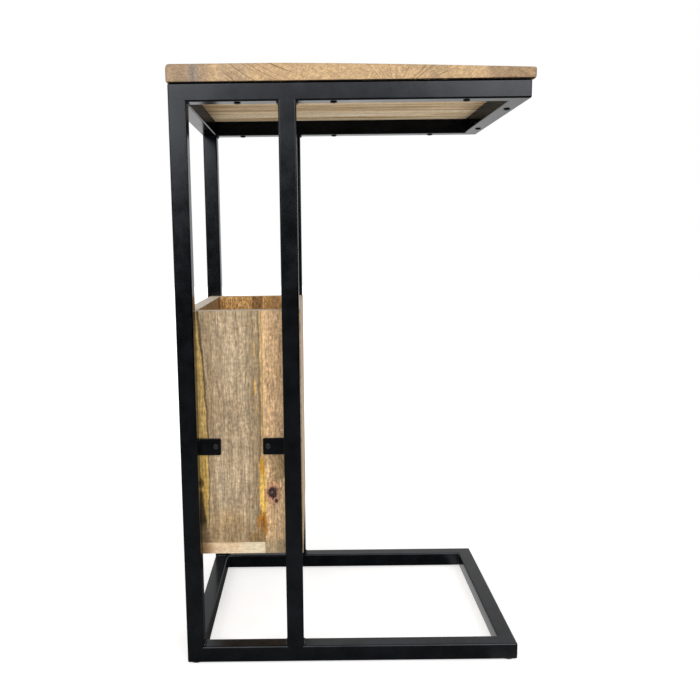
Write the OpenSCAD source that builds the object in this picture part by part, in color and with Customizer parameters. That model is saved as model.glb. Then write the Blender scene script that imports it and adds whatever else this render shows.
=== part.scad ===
// C-shaped side table with an open magazine box.
//
// A solid wood top of three planks lies on a welded frame of square steel
// tube. Two corner posts and two middle posts stand at the left end, so the
// right end is an open C that reaches over a seat or a bed. A wooden box for
// magazines hangs between the posts, screwed to four flat steel tabs.
//
// Millimetres, +Z up, +X to the open end, -Y to the front. The origin is on
// the floor, under the middle of the table top.

/* [Table] */
// Height of the top face above the floor
table_h = 700; // [600:10:800]
// Thickness of the wooden top
top_t = 20; // [18:1:25]
// How far the top reaches past the frame, at the front and the back
top_lap = 3; // [1:0.5:6]
// How far the top reaches past the frame at the closed left end
top_lap_left = 1.5; // [1:0.5:6]
// How far the top reaches past the frame at the open right end
top_lap_right = 4.5; // [1:0.5:6]

/* [Steel frame] */
// Length of the frame, left to right
frame_l = 400; // [360:5:480]
// Depth of the frame, front to back
frame_d = 294; // [260:2:360]
// Side of the square tube
tube = 20; // [18:1:25]
// Wall thickness of the tube
tube_wall = 1.5; // [1.2:0.1:2]
// Outer corner radius of the tube
tube_r = 2; // [1.5:0.1:2.5]
// Clear width between a corner post and its middle post
bay_w = 101; // [90:1:130]
// Leg of the fillet welds in the inside corners
weld = 3; // [2:0.5:4]

/* [Magazine box] */
// Height of the box
box_h = 296; // [240:2:330]
// Height of the box's underside above the floor
box_z = 132; // [110:2:160]
// Thickness of the four walls
box_wall = 16; // [12:1:18]
// Thickness of the bottom board
box_bottom_t = 12; // [10:1:16]
// How far the box is set in from the outer face of the corner posts
box_inset = 4; // [2:1:8]
// How far the box stands proud of the middle posts, into the open side
box_proud = 1; // [0:0.5:3]
// Width of the wide plank in the front and the back wall
wide_plank_w = 92; // [80:1:96]
// Height of the strip let in below the wide front plank
strip_h = 14; // [12:1:20]

/* [Tabs] */
// Length of a tab from its post
tab_l = 25.5; // [22:0.5:28]
// Height of a tab
tab_h = 20; // [16:0.5:24]
// Thickness of a tab
tab_t = 3; // [2:0.5:4]
// Height of the tabs' centre line above the floor
tab_z = 266; // [240:2:290]
// Distance from a tab's free end to its screw
tab_hole_in = 6; // [5:0.5:7]

/* [Feet] */
// Diameter of a floor glide
glide_d = 16; // [12:1:18]
// Thickness of a floor glide
glide_t = 2; // [1.5:0.5:4]

/* [Hidden] */

$fn = 48;

steel_colour = "#26282b";
wood_colour = "#c9a77c";
grey_wood_colour = "#b9a68c";
pale_wood_colour = "#e0c9a8";
screw_colour = "#6d6e70";
rubber_colour = "#17181a";

// Extent of the top, centred on the origin
top_l = frame_l + top_lap_left + top_lap_right;
top_d = frame_d + 2 * top_lap;
top_z = table_h - top_t;

// Extent of the frame
frame_x0 = -top_l / 2 + top_lap_left;
frame_x1 = frame_x0 + frame_l;
frame_y0 = -frame_d / 2;
frame_y1 = frame_d / 2;
frame_z0 = glide_t;
base_top_z = frame_z0 + tube;
top_rail_z = top_z - tube;
post_h = top_rail_z - base_top_z;
middle_x = frame_x0 + tube + bay_w;

// Extent of the magazine box
box_x0 = frame_x0 + box_inset;
box_x1 = middle_x + tube + box_proud;
box_y0 = frame_y0 + tube;
box_y1 = frame_y1 - tube;
box_split_x = box_x0 + wide_plank_w;
box_inner_d = box_y1 - box_y0 - 2 * box_wall;

// Eased edges of the top: radius along the long sides and at the ends
side_edge_r = 2;
end_edge_r = 4;
bottom_edge_r = 1.5;
plank_d = top_d / 3;

// Screws that hold the top, placed from the left end or the front of the frame
front_screw_x = [75.5, 182.5, 330];
rear_screw_x = [57.5, 190.5, 330.5];
right_screw_y = [72, 232];
top_screws_at = concat(
  [for (x = front_screw_x) [frame_x0 + x, frame_y0 + tube / 2]],
  [for (x = rear_screw_x) [frame_x0 + x, frame_y1 - tube / 2]],
  [for (y = right_screw_y) [frame_x1 - tube / 2, frame_y0 + y]]
);

// Low pan head wood screw of the top
pan_head_r = 3.8;
pan_head_h = 1.6;
pan_dome_r = 5.5;
pan_dome_z = 3.06;
pan_shank_r = 2.1;
pan_bite = 14;
screw_tip = 4;
rail_hole_r = 2.7;
pilot_gap = 0.1;

// Countersunk wood screw of a tab
sunk_head_r = 3.2;
sunk_head_h = 1.6;
sunk_shank_r = 1.7;
sunk_bite = 13;
sunk_depth = 0.3;

// Screw centres on the tabs
left_tab_hole_x = frame_x0 + tube + tab_l - tab_hole_in;
right_tab_hole_x = middle_x - tab_l + tab_hole_in;

// ---------------------------------------------------------------- shapes

// Square with round corners, from the origin
module round_square(side, r) {
  translate([r, 0]) square([side - 2 * r, side]);
  translate([0, r]) square([side, side - 2 * r]);
  for (x = [r, side - r], y = [r, side - r])
    translate([x, y]) circle(r);
}

// Section of the square tube
module tube_section() {
  difference() {
    round_square(tube, tube_r);
    translate([tube_wall, tube_wall])
      round_square(tube - 2 * tube_wall, tube_r - tube_wall / 2);
  }
}

// Rail along +X from the origin, both ends mitred, its long face at y = 0
module mitred_rail(len) {
  intersection() {
    rotate([90, 0, 90]) linear_extrude(len) tube_section();
    translate([0, 0, -1]) linear_extrude(tube + 2)
      polygon([[0, 0], [len, 0], [len - tube, tube], [tube, tube]]);
  }
}

// The four mitred rails of a rectangle whose underside is at height z
module front_rail(z) {
  translate([frame_x0, frame_y0, z]) mitred_rail(frame_l);
}

module rear_rail(z) {
  translate([frame_x1, frame_y1, z]) rotate([0, 0, 180]) mitred_rail(frame_l);
}

module left_rail(z) {
  translate([frame_x0, frame_y1, z]) rotate([0, 0, -90]) mitred_rail(frame_d);
}

module right_rail(z) {
  translate([frame_x1, frame_y0, z]) rotate([0, 0, 90]) mitred_rail(frame_d);
}

// Clearance holes for the top's screws through both walls of a rail
module rail_holes() {
  for (at = top_screws_at)
    translate([at[0], at[1], top_rail_z - 1]) cylinder(h = tube + 2, r = rail_hole_r);
}

// Upright tube between the two rectangles, from its lower left corner
module post(x, y) {
  translate([x, y, base_top_z]) linear_extrude(post_h) tube_section();
}

// Flat fillet weld along +X in the corner between the floor and the back wall
module fillet(len) {
  rotate([90, 0, 90]) linear_extrude(len) polygon([[0, 0], [weld, 0], [0, weld]]);
}

// Cross recess cut into a screw head at the origin, down to a depth
module cross_recess(span, depth) {
  for (a = [0, 90])
    rotate([0, 0, a]) translate([-span / 2, -0.45, -1]) cube([span, 0.9, depth + 1]);
}

// Screw body along +Z from the seat of its head, with a pointed tip
module shank(r, len) {
  cylinder(h = len - screw_tip, r = r);
  translate([0, 0, len - screw_tip]) cylinder(h = screw_tip, r1 = r, r2 = 0.3);
}

// Pan head screw pointing up, its head below the origin
module pan_screw() {
  difference() {
    union() {
      intersection() {
        translate([0, 0, -pan_head_h]) cylinder(h = pan_head_h, r = pan_head_r);
        translate([0, 0, pan_dome_z]) sphere(pan_dome_r);
      }
      shank(pan_shank_r, tube + pan_bite);
    }
    translate([0, 0, -pan_head_h]) cross_recess(4, 1.2);
  }
}

// Countersunk screw along +Z, the face of its head at the origin
module sunk_screw() {
  difference() {
    union() {
      cylinder(h = sunk_head_h, r1 = sunk_head_r, r2 = sunk_shank_r);
      shank(sunk_shank_r, tab_t - sunk_depth + sunk_bite);
    }
    cross_recess(3.2, 1.2);
  }
}

// Puts its children at the four tab screws, +Z into the box
module at_tab_screws() {
  for (x = [left_tab_hole_x, right_tab_hole_x]) {
    translate([x, box_y0 - tab_t, tab_z]) rotate([-90, 0, 0]) children();
    translate([x, box_y1 + tab_t, tab_z]) rotate([90, 0, 0]) children();
  }
}

// Room for the tab screws, with a countersink in the tab's face
module tab_screw_holes() {
  at_tab_screws() {
    translate([0, 0, -1]) cylinder(h = tab_t + sunk_bite + 1.5, r = sunk_shank_r + pilot_gap);
    translate([0, 0, -0.01]) cylinder(h = sunk_depth + 0.01, r = sunk_head_r + pilot_gap);
    translate([0, 0, sunk_depth])
      cylinder(h = sunk_head_h, r1 = sunk_head_r + pilot_gap, r2 = sunk_shank_r + pilot_gap);
  }
}

// Tab seen from the front: fixed end at x = 0, free end rounded, centred on z = 0
module tab_blank() {
  r = 2;
  translate([0, tab_t, -tab_h / 2]) rotate([90, 0, 0]) linear_extrude(tab_t) {
    square([tab_l - r, tab_h]);
    translate([0, r]) square([tab_l, tab_h - 2 * r]);
    for (y = [r, tab_h - r]) translate([tab_l - r, y]) circle(r);
  }
}

// Rectangle w by h with its upper and lower corners rounded
module eased_section(w, h, r_top, r_low) {
  polygon([
    [r_low, 0], [w - r_low, 0], [w, r_low], [w, h - r_top],
    [w - r_top, h], [r_top, h], [0, h - r_top], [0, r_low]
  ]);
  for (x = [r_low, w - r_low]) translate([x, r_low]) circle(r_low);
  for (x = [r_top, w - r_top]) translate([x, h - r_top]) circle(r_top);
}

// Plank number i of the top, counted from the front
module top_plank(i) {
  difference() {
    intersection() {
      translate([-top_l / 2, -top_d / 2, top_z]) rotate([90, 0, 90])
        linear_extrude(top_l) eased_section(top_d, top_t, side_edge_r, bottom_edge_r);
      translate([-top_l / 2, top_d / 2, top_z]) rotate([90, 0, 0])
        linear_extrude(top_d) eased_section(top_l, top_t, end_edge_r, bottom_edge_r);
      translate([-top_l / 2 - 1, -top_d / 2 + i * plank_d, top_z - 1])
        cube([top_l + 2, plank_d, top_t + 2]);
    }
    for (at = top_screws_at)
      translate([at[0], at[1], top_z - 1])
        cylinder(h = pan_bite + 1.5, r = pan_shank_r + pilot_gap);
  }
}

// Wall plank of the box between two corners, drilled for the tab screws
module box_board(low, high) {
  difference() {
    translate(low) cube(high - low);
    tab_screw_holes();
  }
}

// ---------------------------------------------------------------- steel frame

module front_left_post() {
  color(steel_colour) post(frame_x0, frame_y0);
}

module front_middle_post() {
  color(steel_colour) post(middle_x, frame_y0);
}

module rear_left_post() {
  color(steel_colour) post(frame_x0, frame_y1 - tube);
}

module rear_middle_post() {
  color(steel_colour) post(middle_x, frame_y1 - tube);
}

module top_front_rail() {
  color(steel_colour) difference() {
    front_rail(top_rail_z);
    rail_holes();
  }
}

module top_rear_rail() {
  color(steel_colour) difference() {
    rear_rail(top_rail_z);
    rail_holes();
  }
}

module top_left_rail() {
  color(steel_colour) left_rail(top_rail_z);
}

module top_right_rail() {
  color(steel_colour) difference() {
    right_rail(top_rail_z);
    rail_holes();
  }
}

module base_front_rail() {
  color(steel_colour) front_rail(frame_z0);
}

module base_rear_rail() {
  color(steel_colour) rear_rail(frame_z0);
}

module base_left_rail() {
  color(steel_colour) left_rail(frame_z0);
}

module base_right_rail() {
  color(steel_colour) right_rail(frame_z0);
}

// Welds in the inside corners, on the flat of the tubes
module weld_beads() {
  flat = tube - 2 * tube_r;
  mid_z = (base_top_z + top_rail_z) / 2;
  color(steel_colour) {
    // Across the side faces of the posts, top and bottom
    for (y = [frame_y0 + tube_r, frame_y1 - tube_r - flat], turn = [0, 1])
      translate([0, 0, mid_z]) mirror([0, 0, turn]) translate([0, 0, -post_h / 2]) {
        for (x = [frame_x0 + tube, middle_x + tube])
          translate([x, y + flat, 0]) rotate([0, 0, -90]) fillet(flat);
        translate([middle_x, y, 0]) rotate([0, 0, 90]) fillet(flat);
      }
    // On the inward faces of the corner posts, top and bottom
    for (back = [0, 1], turn = [0, 1])
      translate([0, 0, mid_z]) mirror([0, back, 0]) mirror([0, 0, turn])
        translate([frame_x0 + tube_r, frame_y0 + tube, -post_h / 2]) fillet(flat);
    // Upright, in the four corners of the base and of the top rectangle
    for (z = [frame_z0, top_rail_z], side = [0, 1], back = [0, 1])
      translate([(frame_x0 + frame_x1) / 2, 0, z + tube_r])
        mirror([side, 0, 0]) mirror([0, back, 0])
          translate([-frame_l / 2 + tube, -frame_d / 2 + tube, 0])
            linear_extrude(flat) polygon([[0, 0], [weld, 0], [0, weld]]);
    // Between each tab and its post, on the tab's outer face
    for (back = [0, 1], right = [0, 1])
      mirror([0, back, 0]) translate([frame_x0 + tube + right * bay_w, box_y0 - tab_t, tab_z])
        mirror([right, 0, 0]) translate([0, 0, -tab_h / 2])
          linear_extrude(tab_h) polygon([[0, 0], [weld / 2, 0], [0, -weld / 2]]);
  }
}

// ---------------------------------------------------------------- tabs and screws

module front_left_tab() {
  color(steel_colour) difference() {
    translate([frame_x0 + tube, box_y0 - tab_t, tab_z]) tab_blank();
    tab_screw_holes();
  }
}

module front_right_tab() {
  color(steel_colour) difference() {
    translate([middle_x, box_y0 - tab_t, tab_z]) mirror([1, 0, 0]) tab_blank();
    tab_screw_holes();
  }
}

module rear_left_tab() {
  color(steel_colour) difference() {
    translate([frame_x0 + tube, box_y1, tab_z]) tab_blank();
    tab_screw_holes();
  }
}

module rear_right_tab() {
  color(steel_colour) difference() {
    translate([middle_x, box_y1, tab_z]) mirror([1, 0, 0]) tab_blank();
    tab_screw_holes();
  }
}

module tab_screws() {
  color(screw_colour) at_tab_screws() translate([0, 0, sunk_depth]) sunk_screw();
}

module top_screws() {
  color(steel_colour)
    for (at = top_screws_at) translate([at[0], at[1], top_rail_z]) pan_screw();
}

// ---------------------------------------------------------------- table top

module top_front_plank() {
  color(wood_colour) top_plank(0);
}

module top_middle_plank() {
  color(wood_colour) top_plank(1);
}

module top_rear_plank() {
  color(wood_colour) top_plank(2);
}

// ---------------------------------------------------------------- magazine box

module box_front_wide_plank() {
  color(grey_wood_colour)
    box_board([box_x0, box_y0, box_z + strip_h], [box_split_x, box_y0 + box_wall, box_z + box_h]);
}

module box_front_narrow_plank() {
  color(wood_colour)
    box_board([box_split_x, box_y0, box_z], [box_x1, box_y0 + box_wall, box_z + box_h]);
}

module box_front_strip() {
  color(pale_wood_colour)
    box_board([box_x0, box_y0, box_z], [box_split_x, box_y0 + box_wall, box_z + strip_h]);
}

module box_rear_wide_plank() {
  color(wood_colour)
    box_board([box_x0, box_y1 - box_wall, box_z], [box_split_x, box_y1, box_z + box_h]);
}

module box_rear_narrow_plank() {
  color(wood_colour)
    box_board([box_split_x, box_y1 - box_wall, box_z], [box_x1, box_y1, box_z + box_h]);
}

// Half of a side wall: half 0 is the front one, half 1 the rear one
module side_plank(x, half) {
  y = box_y0 + box_wall + half * box_inner_d / 2;
  color(wood_colour)
    box_board([x, y, box_z], [x + box_wall, y + box_inner_d / 2, box_z + box_h]);
}

module box_left_front_plank() {
  side_plank(box_x0, 0);
}

module box_left_rear_plank() {
  side_plank(box_x0, 1);
}

module box_right_front_plank() {
  side_plank(box_x1 - box_wall, 0);
}

module box_right_rear_plank() {
  side_plank(box_x1 - box_wall, 1);
}

module box_bottom_board() {
  color(wood_colour)
    translate([box_x0 + box_wall, box_y0 + box_wall, box_z])
      cube([box_x1 - box_x0 - 2 * box_wall, box_inner_d, box_bottom_t]);
}

// ---------------------------------------------------------------- feet

module floor_glides() {
  color(rubber_colour)
    for (x = [frame_x0 + tube / 2, frame_x1 - tube / 2], y = [frame_y0, frame_y1 - tube])
      translate([x, y + tube / 2, 0]) cylinder(h = glide_t, d1 = glide_d - 1, d2 = glide_d);
}

front_left_post();
front_middle_post();
rear_left_post();
rear_middle_post();
top_front_rail();
top_rear_rail();
top_left_rail();
top_right_rail();
base_front_rail();
base_rear_rail();
base_left_rail();
base_right_rail();
weld_beads();
front_left_tab();
front_right_tab();
rear_left_tab();
rear_right_tab();
tab_screws();
top_front_plank();
top_middle_plank();
top_rear_plank();
top_screws();
box_front_wide_plank();
box_front_narrow_plank();
box_front_strip();
box_rear_wide_plank();
box_rear_narrow_plank();
box_left_front_plank();
box_left_rear_plank();
box_right_front_plank();
box_right_rear_plank();
box_bottom_board();
floor_glides();
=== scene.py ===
"""Looks of the C-shaped side table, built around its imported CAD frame.

The CAD nodes give every place and size. Each class below rebuilds one
sub-assembly with the edges, welds, screws and timber figure that the eye sees,
and dresses it in a procedural finish. Lengths are metres, and a name that ends
in _mm is in millimetres.
"""

import logging
import math
from collections import Counter
from collections.abc import Callable
from dataclasses import dataclass, field, fields, replace
from enum import Enum
from functools import partial

import bmesh
import bpy
from bmesh.types import BMesh
from bpy.types import ID, Material, Mesh, Node, NodeSocket, NodeTree, Object, World
from mathutils import Matrix, Vector, noise


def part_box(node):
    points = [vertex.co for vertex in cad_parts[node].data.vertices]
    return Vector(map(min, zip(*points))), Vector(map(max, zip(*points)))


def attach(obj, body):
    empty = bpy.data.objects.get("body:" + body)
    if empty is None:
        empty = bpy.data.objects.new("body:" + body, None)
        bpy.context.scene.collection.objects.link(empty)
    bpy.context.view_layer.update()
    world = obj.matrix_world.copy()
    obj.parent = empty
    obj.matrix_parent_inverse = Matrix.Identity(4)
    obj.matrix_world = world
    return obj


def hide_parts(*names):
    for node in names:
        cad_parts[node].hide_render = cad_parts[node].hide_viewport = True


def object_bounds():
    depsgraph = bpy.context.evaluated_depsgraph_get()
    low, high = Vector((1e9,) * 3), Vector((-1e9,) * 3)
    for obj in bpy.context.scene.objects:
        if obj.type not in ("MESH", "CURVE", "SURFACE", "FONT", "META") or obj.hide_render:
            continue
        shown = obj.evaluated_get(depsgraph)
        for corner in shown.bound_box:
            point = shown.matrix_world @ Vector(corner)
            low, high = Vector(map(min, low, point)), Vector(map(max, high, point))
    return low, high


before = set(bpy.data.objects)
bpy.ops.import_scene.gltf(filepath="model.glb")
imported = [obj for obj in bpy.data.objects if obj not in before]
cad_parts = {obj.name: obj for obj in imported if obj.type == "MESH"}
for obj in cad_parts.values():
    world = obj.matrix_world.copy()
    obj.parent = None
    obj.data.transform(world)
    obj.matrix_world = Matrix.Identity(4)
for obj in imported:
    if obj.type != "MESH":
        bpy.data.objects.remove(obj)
cad_low, cad_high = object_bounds()

MM = 0.001
BODY = "root"
POSTS = ("front_left", "front_middle", "rear_left", "rear_middle")
TABS = ("front_left", "front_right", "rear_left", "rear_right")
# Ways from the corners of a rectangle to its middle, in the order of its corners
INWARD = ((1, 1), (-1, 1), (-1, -1), (1, -1))
SAME_POINT = 0.001 * MM
SHARP_ANGLE = math.radians(42)
CRISP_ANGLE = math.radians(35)
SPIN_SEED = 7
# Nearly all values of a noise texture lie between these
NOISE_SPAN = (0.32, 0.68)
# What the type of a node may start with, and the setting that is its main choice
FAMILIES = ("ShaderNode", "GeometryNode", "FunctionNode", "")
CHOICES = ("operation", "interpolation_type", "noise_dimensions", "input_type", "data_type")
Pair = tuple[float, float]
Triple = tuple[float, float, float]
Adder = Callable[..., Node]
Sockets = dict[str, NodeSocket]
log = logging.getLogger("side_table")


# ------------------------------------------------------------------ helpers


def linear(hex_colour: str) -> tuple[float, float, float, float]:
    """Turn an sRGB hex colour into linear light.

    Args:
        hex_colour: Colour such as "#c9a77c".

    Returns:
        Red, green, blue and an alpha of 1.
    """
    srgb = [int(hex_colour[i : i + 2], 16) / 255 for i in (1, 3, 5)]
    light = [c / 12.92 if c <= 0.04045 else ((c + 0.055) / 1.055) ** 2.4 for c in srgb]
    return (*light, 1.0)


def add_node(
    tree: NodeTree, kind: str, inputs: tuple | dict[int | str, object] = (),
    stops: tuple[tuple[float, str], ...] = (), **settings: object
) -> Node:
    """Add a node to a tree, with its settings, values and links.

    Args:
        tree: Shader or geometry tree that gets the node.
        kind: Type of the node without its family, and after a dot its main
            choice where it has one, as in "Math.ADD" or "Mix.RGBA".
        inputs: Value, socket or node for the inputs in use from the first one
            on, or for some by index or name. A node gives its first output in use.
        stops: Positions and hex colours of a colour ramp.
        **settings: Other properties of the node.

    Returns:
        The new node.
    """
    kind, _, choice = kind.partition(".")
    made = tree.nodes.new(next(f + kind for f in FAMILIES if hasattr(bpy.types, f + kind)))
    if choice:
        settings[next(name for name in CHOICES if hasattr(made, name))] = choice
    for name, value in settings.items():
        setattr(made, name, value)
    for index, (position, colour) in enumerate(stops):
        elements = made.color_ramp.elements
        stop = elements[index] if index < len(elements) else elements.new(position)
        stop.position = position
        stop.color = linear(colour)
    in_use = [socket for socket in made.inputs if socket.enabled]
    if isinstance(inputs, tuple):
        pairs = list(zip(in_use, inputs))
    else:
        by_name = {socket.name: socket for socket in reversed(in_use)}
        pairs = [(by_name[k] if isinstance(k, str) else made.inputs[k], v) for k, v in inputs.items()]
    for socket, value in pairs:
        if isinstance(value, Node):
            value = next(s for s in value.outputs if s.enabled)
        if isinstance(value, NodeSocket):
            tree.links.new(value, socket)
        else:
            socket.default_value = value
    return made


def cleared(owner: Material | World) -> Adder:
    """Empty the node tree of a material or a world.

    Args:
        owner: What has the tree.

    Returns:
        The function that adds a node to it.
    """
    owner.use_nodes = True
    owner.node_tree.nodes.clear()
    return partial(add_node, owner.node_tree)


def new_material(name: str) -> tuple[Material, Adder]:
    """Make a material with an empty node tree, and give what adds a node to it."""
    made = bpy.data.materials.new(name)
    return made, cleared(made)


def add_surface(add: Adder, inputs: dict[int | str, object]) -> None:
    """End the tree of a material in a Principled surface with these inputs."""
    surface = add("BsdfPrincipled", inputs)
    add("OutputMaterial", {"Surface": surface})


def shade(add: Adder, colour: Node, by: Node, depth: float) -> Node:
    """Darken and lighten a colour by a noise, each way by a share of its brightness."""
    share = add("MapRange", (by, *NOISE_SPAN, 1 - depth, 1 + depth))
    return add("VectorMath.SCALE", (colour, share))


def new_geometry_tree(name: str, inputs: dict[str, str]) -> tuple[NodeTree, Adder, Sockets]:
    """Make a geometry tree with named inputs.

    Args:
        name: Name of the tree.
        inputs: Name and kind of each input after the geometry.

    Returns:
        The tree, the function that adds a node to it, and the sockets of its inputs.
    """
    tree = bpy.data.node_groups.new(name, "GeometryNodeTree")
    for label, kind in {"Geometry": "Geometry", **inputs}.items():
        tree.interface.new_socket(label, in_out="INPUT", socket_type=f"NodeSocket{kind}")
    tree.interface.new_socket("Geometry", in_out="OUTPUT", socket_type="NodeSocketGeometry")
    return tree, partial(add_node, tree), add_node(tree, "NodeGroupInput").outputs


def islands(node: str) -> list[list[Vector]]:
    """Find the separate bodies in a CAD node.

    Args:
        node: Name of the node.

    Returns:
        The corner points of each body, in the order of their places.
    """
    shape = bmesh.new()
    shape.from_mesh(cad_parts[node].data)
    bmesh.ops.remove_doubles(shape, verts=shape.verts[:], dist=SAME_POINT)
    left = set(shape.verts)
    found = []
    while left:
        grown = [left.pop()]
        for vertex in grown:
            near = {e.other_vert(vertex) for e in vertex.link_edges} & left
            left -= near
            grown += near
        found.append([v.co.copy() for v in grown])
    shape.free()
    # Their places are compared to a tenth of a millimetre, so that the order is the same each run
    return sorted(
        found, key=lambda points: tuple(round(c, 4) for c in sum(points, Vector()) / len(points))
    )


def extent(points: list[Vector]) -> tuple[Vector, Vector]:
    """Give the lowest and the highest corner of some points."""
    low, high = (Vector(pick(p[axis] for p in points) for axis in range(3)) for pick in (min, max))
    return low, high


def add_loft(shape: BMesh, rings: list[list[Vector]], closed: bool = False) -> None:
    """Join rings of points by quads, with caps at the ends unless closed.

    Args:
        shape: Mesh that gets the faces.
        rings: Rings with the same number of points each.
        closed: Whether the last ring joins the first one.
    """
    made = [[shape.verts.new(point) for point in ring] for ring in rings]
    pairs = list(zip(made, made[1:]))
    if closed:
        pairs.append((made[-1], made[0]))
    else:
        shape.faces.new(reversed(made[0]))
        shape.faces.new(made[-1])
    for one, other in pairs:
        count = len(one)
        for i in range(count):
            j = (i + 1) % count
            shape.faces.new((one[i], one[j], other[j], other[i]))


def add_rounded_bar(shape: BMesh, low: Vector, high: Vector, radius: float) -> None:
    """Add an upright bar between two corners, with round vertical edges."""
    plan = rounded_rectangle((low.x, low.y), (high.x, high.y), ((radius, radius),) * 4)
    add_loft(shape, [[Vector((x, y, z)) for x, y in plan] for z in (low.z, high.z)])


def corners(low: Pair | Vector, high: Pair | Vector) -> tuple[Pair, ...]:
    """Give the corners of a rectangle, counter-clockwise from the lower left one."""
    return ((low[0], low[1]), (high[0], low[1]), (high[0], high[1]), (low[0], high[1]))


def rounded_rectangle(
    low: Pair, high: Pair, radii: tuple[Pair, ...], steps: int = 6, sides: int = 1
) -> list[Pair]:
    """Give the outline of a rectangle with round corners, counter-clockwise.

    Args:
        low: Lower left corner.
        high: Upper right corner.
        radii: Radii of each corner on both axes, from the lower left one round.
        steps: Facets of each corner.
        sides: Pieces that each straight side is cut into.

    Returns:
        Points of the outline, from the left end of the lower left corner.
    """
    arcs = []
    for quarter, ((x, y), (sx, sy), (rx, ry)) in enumerate(zip(corners(low, high), INWARD, radii)):
        turns = [math.pi + (quarter + step / steps) * math.pi / 2 for step in range(steps + 1)]
        arcs.append([(x + sx * rx + rx * math.cos(a), y + sy * ry + ry * math.sin(a)) for a in turns])
    points: list[Pair] = []
    for arc, follow in zip(arcs, arcs[1:] + arcs[:1]):
        points += arc
        for part in range(1, sides):
            share = part / sides
            points.append(tuple(a + (b - a) * share for a, b in zip(arc[-1], follow[0])))
    return points


def place_object(name: str, data: ID) -> Object:
    """Put an object in the scene.

    Args:
        name: Name of the object.
        data: Its mesh, light or camera.

    Returns:
        The object.
    """
    placed = bpy.data.objects.new(name, data)
    bpy.context.scene.collection.objects.link(placed)
    return placed


def add_piece(name: str, mesh: Mesh | BMesh, material: Material | None, slot: str, *nodes: str) -> Object:
    """Put a finished mesh in the scene, in place of CAD nodes.

    Args:
        name: Name of the piece.
        mesh: Its mesh, with its place in it.
        material: Its finish, or None where the mesh already has one.
        slot: Material slot of the record; it is not used.
        *nodes: CAD nodes that it stands for.

    Returns:
        The piece.
    """
    if isinstance(mesh, BMesh):
        bmesh.ops.recalc_face_normals(mesh, faces=mesh.faces[:])
        shape, mesh = mesh, bpy.data.meshes.new(name)
        shape.to_mesh(mesh)
        shape.free()
        mesh.shade_smooth()
        mesh.set_sharp_from_angle(angle=SHARP_ANGLE)
    if material:
        mesh.materials.append(material)
    piece = place_object(name, mesh)
    weighted = piece.modifiers.new("flat faces stay flat", "WEIGHTED_NORMAL")
    weighted.keep_sharp = True
    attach(piece, BODY)
    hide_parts(*nodes)
    log.info("%s: %d faces, for %s", name, len(mesh.polygons), ", ".join(nodes))
    return piece


def evaluated_mesh(points: Mesh, tree: NodeTree, values: dict[str, object]) -> Mesh:
    """Run a geometry tree on points and keep its result as a plain mesh.

    Args:
        points: Mesh that the tree starts from.
        tree: The geometry tree.
        values: Value of each named input.

    Returns:
        The mesh that the tree makes.
    """
    holder = place_object("pattern", points)
    modifier = holder.modifiers.new("pattern", "NODES")
    modifier.node_group = tree
    for item in tree.interface.items_tree:
        if item.item_type == "SOCKET" and item.in_out == "INPUT" and item.name in values:
            modifier[item.identifier] = values[item.name]
    graph = bpy.context.evaluated_depsgraph_get()
    mesh = bpy.data.meshes.new_from_object(holder.evaluated_get(graph), depsgraph=graph)
    holder.modifiers.remove(modifier)
    bpy.data.objects.remove(holder)
    return mesh


# ------------------------------------------------------------------ metal and plastic finishes


@dataclass(frozen=True)
class PowderCoat:
    """Black polyester powder coat, sprayed on steel tube and baked.

    The powder flows into a fine orange peel and leaves cloudy patches where
    the film is thicker, so the gloss comes and goes along a tube.
    """

    name: str = "black_powder_coat"
    thin: str = "#070809"
    thick: str = "#0c0e11"
    glance: str = "#e3e8f1"
    index: float = 1.42
    gloss: Pair = (0.43, 0.57)
    roughness: Pair = (0.175, 0.235)
    # Values of the film's noise where its colour, gloss and roughness start and stop to change
    colour_span: Pair = (0.4, 0.62)
    gloss_span: Pair = (0.36, 0.64)
    roughness_span: Pair = (0.38, 0.62)
    cloud_mm: float = 26.0
    cloud_share: float = 0.7
    streak_mm: float = 5.0
    peel_mm: float = 1.2
    peel_height_mm: float = 0.15

    def material(self) -> Material:
        """Build the material.

        Returns:
            The powder coat.
        """
        made, add = new_material(self.name)
        place = add("TexCoord").outputs["Object"]
        scales = {"cloud": self.cloud_mm, "streak": self.streak_mm, "peel": self.peel_mm}
        grain = {
            name: add(
                "TexNoise", {"Vector": place, "Scale": 1 / (size * MM), "Detail": 3.0, "Roughness": 0.6}
            )
            for name, size in scales.items()
        }
        film = add("Math.MULTIPLY_ADD", (grain["cloud"], self.cloud_share, 0.0))
        film = add("Math.MULTIPLY_ADD", (grain["streak"], 1 - self.cloud_share, film))
        colour = add("ValToRGB", (film,), stops=tuple(zip(self.colour_span, (self.thin, self.thick))))
        roughness = add("MapRange", (film, *self.roughness_span, *self.roughness))
        gloss = add("MapRange", (film, *self.gloss_span, *self.gloss))
        peel = add(
            "Bump", {"Strength": 0.1, "Distance": self.peel_height_mm * MM, "Height": grain["peel"]}
        )
        add_surface(
            add,
            {
                "Base Color": colour, "Roughness": roughness, "Normal": peel, "IOR": self.index,
                "Specular IOR Level": gloss, "Specular Tint": linear(self.glance)
            }
        )
        return made


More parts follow.
